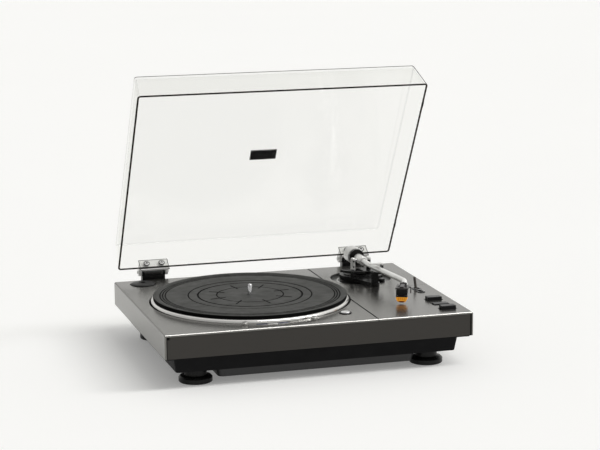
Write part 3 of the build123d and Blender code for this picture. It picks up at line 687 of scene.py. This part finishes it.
def make_lid_fittings():
    """Cross-head screws in the hinge plates, with painted shade in their cross slots and round their heads, and a
    dark frame of painted shade round each plate.
    """
    shut = joint("lid_hinge")["range_deg"][0]
    close, open_up = turned_by("lid_hinge", shut), turned_by("lid_hinge", -shut)
    heads, slot_shade = bmesh.new(), bmesh.new()
    lid = [close @ v.co for v in frame["nodes"]["dust_cover"].data.vertices]
    rear = max(p.y for p in lid)
    rim_z = min(p.z for p in lid)
    tilt = Matrix.Rotation(atan2(LID_TAPER, LID_HEIGHT), 4, "X")
    for side in (-1, 1):
        foot = Matrix.Translation((side * middle("hinge_block_right").x, rear, rim_z)) @ tilt
        for across in (-PLATE_SCREW_OUT, PLATE_SCREW_OUT):
            spot = Matrix.Translation((across, 0, PLATE_SCREW_UP))
            seat = foot @ spot @ Matrix.Rotation(radians(90), 4, "X")
            place = open_up @ seat
            profile = [(0, -3.5 * MM), (1.9 * MM, -3.5 * MM), (1.9 * MM, 3.1 * MM), (3.6 * MM, 3.1 * MM)]
            profile += [(3.7 * MM, 3.5 * MM), (3.0 * MM, 4.3 * MM), (1.6 * MM, 4.5 * MM), (0, 4.5 * MM)]
            add_lathe(heads, None, profile, 40, place)
            # painted shade: black bars in the cross recess, and a black ring round the head
            for turn in (0, 90):
                cross = place @ Matrix.Rotation(radians(turn + 20), 4, "Z")
                add_box(slot_shade, (-2.4 * MM, -0.6 * MM, 4.2 * MM), (2.4 * MM, 0.6 * MM, 4.58 * MM), 0, cross)
            ring = [(3.6 * MM, 3.05 * MM), (4.9 * MM, 3.05 * MM), (4.9 * MM, 3.6 * MM), (3.6 * MM, 3.6 * MM)]
            add_lathe(slot_shade, None, ring, 40, place)
    piece("plate_screws", heads, "cover", LOOK["hinge_steel"], ["bracket_screws"])
    piece("plate_screw_slot_shade", slot_shade, "cover", LOOK["hinge_black"])
    # painted shade: a dark frame round each hinge plate
    edges = bmesh.new()
    for side in (-1, 1):
        foot = open_up @ Matrix.Translation((side * middle("hinge_block_right").x, rear, rim_z)) @ tilt
        for x0, x1, z0, z1 in ((-23.4, 23.4, 17.2, 18.1), (-23.4, -22.5, -3.3, 18.1),
                               (22.5, 23.4, -3.3, 18.1), (-23.4, 23.4, -3.3, -2.4)):
            add_box(edges, (x0 * MM, -0.12 * MM, z0 * MM), (x1 * MM, 0.3 * MM, z1 * MM), 0, foot)
    piece("plate_edge_shade", edges, "cover", LOOK["hinge_black"])


def make_groove_shade():
    """Painted shade: black strips sunk in the grooves between the three metal covers."""
    groove_low, groove_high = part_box("platter_deck")[1].x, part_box("control_deck")[0].x
    front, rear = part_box("platter_deck")[0].y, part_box("platter_deck")[1].y
    seam_low, seam_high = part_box("control_deck")[1].y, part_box("tonearm_deck")[0].y
    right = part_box("control_deck")[1].x
    mesh = bmesh.new()
    gap = 0.04 * MM
    add_box(mesh, (groove_low + gap, front + 3 * MM, DECK_TOP - 2.8 * MM),
            (groove_high - gap, rear - 3 * MM, DECK_TOP - 0.1 * MM), 0.02 * MM)
    add_box(mesh, (groove_high + gap, seam_low + gap, DECK_TOP - 2.8 * MM),
            (right - 3 * MM, seam_high - gap, DECK_TOP - 0.1 * MM), 0.02 * MM)
    piece("groove_shade_strips", mesh, "plinth", SHADE)


def make_arm_well():
    """Grey look for the floor of the arm's well, a bright ring round the base and a black lip."""
    low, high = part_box("arm_board")
    level = high.z
    floor_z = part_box("arm_base")[0].z
    rim = (high.x - low.x) / 2 - 5.5 * MM
    mesh = bmesh.new()
    centre = Vector((*PIVOT, 0))
    profile = [
        (36.2 * MM, floor_z + 0.02 * MM), (38.6 * MM, floor_z + 0.02 * MM),
        (38.6 * MM, floor_z + 0.9 * MM), (38.0 * MM, floor_z + 1.4 * MM),
        (36.8 * MM, floor_z + 1.4 * MM), (36.2 * MM, floor_z + 0.9 * MM),
    ]
    add_lathe(mesh, centre, profile, 128)
    piece("arm_well_ring", mesh, "plinth", LOOK["arm_silver"])
    lip = bmesh.new()
    profile = [(rim - 1.2 * MM, level - 0.1 * MM), (rim + 0.1 * MM, level - 0.1 * MM),
               (rim + 0.1 * MM, level + 1.6 * MM), (rim - 0.5 * MM, level + 1.9 * MM),
               (rim - 1.2 * MM, level + 1.2 * MM)]
    add_lathe(lip, centre, profile, 128)
    piece("arm_well_lip", lip, "plinth", LOOK["arm_black"])
    shade = lacquer("arm_board_grey", (0.20, 0.20, 0.195), 0.34, 0.75)
    board = frame["nodes"]["arm_board"].data
    board.materials.clear()
    board.materials.append(shade)


def make_dial_marks():
    """White strokes round the tracking force dial, without figures."""
    low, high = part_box("force_dial")
    centre = (low + high) / 2
    radius = (high.z - low.z) / 2
    half = (high.y - low.y) / 2
    marks = 30
    mesh = bmesh.new()
    for k in range(marks):
        reach = half * (0.75 if k % 5 == 0 else 0.45)
        place = Matrix.Translation(centre) @ Matrix.Rotation(2 * pi * k / marks, 4, "Y")
        inner, outer = radius - 0.15 * MM, radius + 0.05 * MM
        add_box(mesh, (-0.22 * MM, -reach, inner), (0.22 * MM, reach, outer), 0, place)
    white = plastic("mark_white", (0.85, 0.85, 0.83), 0.4, 0.1)
    piece("dial_marks", mesh, "dial", white)


def add_plate(mesh, outline, y0, y1, place):
    """A plate with the given outline in X and Z, between two depths."""
    front = [mesh.verts.new(place @ Vector((x, y0, z))) for x, z in outline]
    back = [mesh.verts.new(place @ Vector((x, y1, z))) for x, z in outline]
    mesh.faces.new(front)
    mesh.faces.new(back[::-1])
    for k in range(len(outline)):
        after = (k + 1) % len(outline)
        mesh.faces.new((front[after], front[k], back[k], back[after]))


def make_guard():
    """Stylus guard: ribbed amber shield with a round foot and a dark red tip of painted shade for its underside,
    hung on two black arms.
    """
    head = Vector(joint("collar_turn")["pos_m"])
    place = Matrix.Translation(head) @ Matrix.Rotation(radians(HEAD_TURN), 4, "Z")
    shield, arms, ribs, tip = (bmesh.new() for _ in range(4))
    outline = [(8.1 * MM, -13.2 * MM)]
    for k in range(7):
        a = pi / 2 * k / 6
        outline.append(((2.4 + 5.7 * cos(a)) * MM, (-15.2 - 5.7 * sin(a)) * MM))
    outline += [(-x, z) for x, z in reversed(outline)]
    add_plate(shield, outline, -27.35 * MM, -25.95 * MM, place)
    for side in (-1, 1):
        x0, x1 = sorted((side * 7.3 * MM, side * 8.5 * MM))
        add_box(shield, (x0, -26.4 * MM, -16.4 * MM), (x1, -20.2 * MM, -13.2 * MM), 0.3 * MM, place)
        x0, x1 = x0 + 0.02 * MM, x1 - 0.02 * MM
        add_box(arms, (x0, -26.4 * MM, -13.2 * MM), (x1, -20.2 * MM, -10.9 * MM), 0.2 * MM, place)
        add_box(arms, (x0, -26.4 * MM, -11.4 * MM), (x1, -23.6 * MM, -2.6 * MM), 0.3 * MM, place)
    add_box(arms, (-8.0 * MM, -27.3 * MM, -13.2 * MM), (8.0 * MM, -26.0 * MM, -10.9 * MM), 0.2 * MM, place)
    for x in (-4.8, -1.6, 1.6, 4.8):
        left, right = (x - 0.45) * MM, (x + 0.45) * MM
        add_box(ribs, (left, -27.6 * MM, -17.4 * MM), (right, -27.2 * MM, -14.0 * MM), 0.1 * MM, place, 1)
    corners = [(5.2, -19.0), (2.6, -20.95), (-2.6, -20.95), (-5.2, -19.0)]
    add_plate(tip, [(x * MM, z * MM) for x, z in corners], -27.62 * MM, -25.7 * MM, place)
    piece("guard_shield", shield, "guard", LOOK["guard_orange"], ["stylus_guard"])
    piece("guard_arms", arms, "guard", LOOK["cartridge_black"])
    # amber ribs with a faint painted glow
    amber = tinted_clear("guard_amber", (0.62, 0.17, 0.01), 0.1)
    piece("guard_ribs", ribs, "guard", amber)
    # painted shade: the dark red plate at the foot's bottom stands for the guard's shadowed underside
    shaded_red = plastic("guard_shaded_red", (0.13, 0.012, 0.006), 0.5, 0.1, Specular_IOR_Level=0.2)
    piece("guard_tip_shade", tip, "guard", shaded_red)


def make_badge_highlight():
    """Painted highlight: a bright line along the upper and left bevel of the cover's badge."""
    shut = joint("lid_hinge")["range_deg"][0]
    close, open_up = turned_by("lid_hinge", shut), turned_by("lid_hinge", -shut)
    points = [close @ v.co for v in frame["nodes"]["lid_badge"].data.vertices]
    low = Vector(min(p[i] for p in points) for i in range(3))
    high = Vector(max(p[i] for p in points) for i in range(3))
    mesh = bmesh.new()
    inset = 0.3 * MM
    under = low.z - 0.02 * MM
    start = (low.x + inset, low.y + inset, under)
    add_box(mesh, start, (high.x - inset, low.y + 1.3 * MM, under + 0.3 * MM), 0, open_up)
    add_box(mesh, start, (low.x + 0.8 * MM, high.y - inset, under + 0.3 * MM), 0, open_up)
    piece("badge_painted_highlight", mesh, "cover", LOOK["arm_silver"])


def make_strobe():
    """White prism and dark lens on top of the strobe window."""
    low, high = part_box("strobe_window")
    mid = middle("strobe_window")
    white, blue = bmesh.new(), bmesh.new()
    under, top = high.z - 0.2 * MM, high.z + 0.35 * MM
    y0, y1 = low.y + 2.2 * MM, high.y - 2.4 * MM
    add_box(white, (mid.x - 7.5 * MM, y0, under), (mid.x + 7.5 * MM, y1, top), 0.15 * MM)
    add_box(blue, (mid.x + 14 * MM, y0, under), (mid.x + 21 * MM, y1, top), 0.15 * MM)
    prism = plastic("prism_white", (0.82, 0.82, 0.80), 0.25, 0.05)
    piece("strobe_prism", white, "plinth", prism)
    lens = plastic("lens_blue", (0.02, 0.03, 0.12), 0.12, 0.05)
    piece("strobe_lens", blue, "plinth", lens)


def make_fascia_gap_shade():
    """Painted shade: dark boxes in the gaps between the fascia and the standing edges of the covers, wider at the
    left top corner.
    """
    low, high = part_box("front_fascia")
    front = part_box("platter_deck")[0].y + 0.02 * MM
    mesh = bmesh.new()
    back, foot, head = low.y + 1.0 * MM, low.z + 0.2 * MM, high.z
    left = low.x - 0.4 * MM
    add_box(mesh, (high.x - 1.3 * MM, front, foot), (high.x + 0.6 * MM, back, head), 0.05 * MM)
    add_box(mesh, (left, front, foot), (low.x + 0.6 * MM, back, head), 0.05 * MM)
    add_box(mesh, (left, front - 0.01 * MM, head - 4.0 * MM), (low.x + 4.2 * MM, back, head), 0.2 * MM)
    piece("fascia_gap_shade", mesh, "plinth", SHADE)


def make_yoke():
    """Yoke: black disc under the arm, a grey pillar with two dark screws and a dark post with a pale cap."""
    low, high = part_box("arm_yoke")
    centre = Vector((*PIVOT, 0))
    disc = bmesh.new()
    foot = low.z
    add_lathe(disc, centre, [
        (0, foot), (4.9 * MM, foot), (4.9 * MM, foot + 11.4 * MM), (16.2 * MM, foot + 11.4 * MM),
        (17.0 * MM, foot + 12.2 * MM), (17.0 * MM, foot + 14.4 * MM), (16.0 * MM, foot + 15.4 * MM),
        (11.0 * MM, foot + 15.9 * MM), (0, foot + 15.9 * MM),
    ], 96)
    piece("yoke_disc", disc, "yoke", LOOK["arm_black"], ["arm_yoke"])
    reach = 13 * MM
    seat, top = foot + 15.6 * MM, high.z
    pale, dark = bmesh.new(), bmesh.new()
    column = [(0, seat), (3.9 * MM, seat), (3.9 * MM, seat + 3 * MM), (3.6 * MM, seat + 3.4 * MM),
              (3.6 * MM, top - 1.6 * MM), (2.6 * MM, top - 0.3 * MM), (0, top)]
    add_lathe(pale, centre - Vector((reach, 0, 0)), column, 40)
    post = [(0, seat), (3.9 * MM, seat), (3.9 * MM, seat + 3 * MM), (3.3 * MM, seat + 3.4 * MM),
            (3.3 * MM, top - 4 * MM), (0, top - 4 * MM)]
    add_lathe(dark, centre + Vector((reach, 0, 0)), post, 40)
    cap = [(0, top - 4 * MM), (3.6 * MM, top - 4 * MM), (3.6 * MM, top - 1.2 * MM)]
    cap += [(2.6 * MM, top - 0.3 * MM), (0, top)]
    add_lathe(pale, centre + Vector((reach, 0, 0)), cap, 40)
    screw = [(0, -0.4 * MM), (1.3 * MM, -0.4 * MM), (1.3 * MM, 0.5 * MM), (0, 0.7 * MM)]
    for z in (top - 5.5 * MM, seat + 5.5 * MM):
        spot = Matrix.Translation(centre + Vector((-reach, -3.3 * MM, z)))
        add_lathe(dark, None, screw, 24, spot @ Matrix.Rotation(radians(90), 4, "X"))
    piece("yoke_pillars", pale, "yoke", LOOK["weight_grey"])
    piece("yoke_dark_post", dark, "yoke", LOOK["arm_black"])


def make_cue_plate():
    """Dark look for the surround of the lever's slot, and a fine pale line across it: a painted highlight on the
    plate's edge.
    """
    low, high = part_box("cue_escutcheon")
    mid = (low + high) / 2
    plate = frame["nodes"]["cue_escutcheon"].data
    plate.materials.clear()
    plate.materials.append(LOOK["key_black"])
    mesh = bmesh.new()
    place = Matrix.Translation((mid.x, mid.y, high.z)) @ Matrix.Rotation(radians(HIGHLIGHT_TURN), 4, "Z")
    add_box(mesh, (0.2 * MM, -11 * MM, -0.5 * MM), (1.5 * MM, 8 * MM, 0.1 * MM), 0.05 * MM, place)
    piece("cue_plate_highlight", mesh, "plinth", LOOK["weight_grey"])


def make_barrels():
    """Polished sleeves on the hinge barrels, cut off just inside their ends."""
    bore, chamfer, outer = 6.6 * MM, 7.58 * MM, 7.66 * MM
    straight, half = 14.5 * MM, 15 * MM
    mesh = bmesh.new()
    for name in ("hinge_block_left", "hinge_block_right"):
        x = middle(name).x
        hinge = Vector(joint("lid_hinge")["pos_m"])
        place = Matrix.Translation((x, hinge.y, hinge.z)) @ Matrix.Rotation(radians(90), 4, "Y")
        ring = [(bore, -half), (chamfer, -half), (outer, -straight)]
        ring += [(outer, straight), (chamfer, half), (bore, half)]
        add_lathe(mesh, None, ring, ROUND_SMALL, place)
    sleeve = lacquer("barrel_grey", (0.10, 0.10, 0.10), 0.22, 0.8)
    piece("hinge_sleeves", mesh, "plinth", sleeve)


dress_cad_nodes()
make_camera()
make_floor()
make_light()
make_mat()
make_platter()
make_spindle()
make_cover()
make_lid_fittings()
make_groove_shade()
make_arm_well()
make_dial_marks()
make_guard()
make_badge_highlight()
make_strobe()
make_fascia_gap_shade()
make_yoke()
make_cue_plate()
make_barrels()
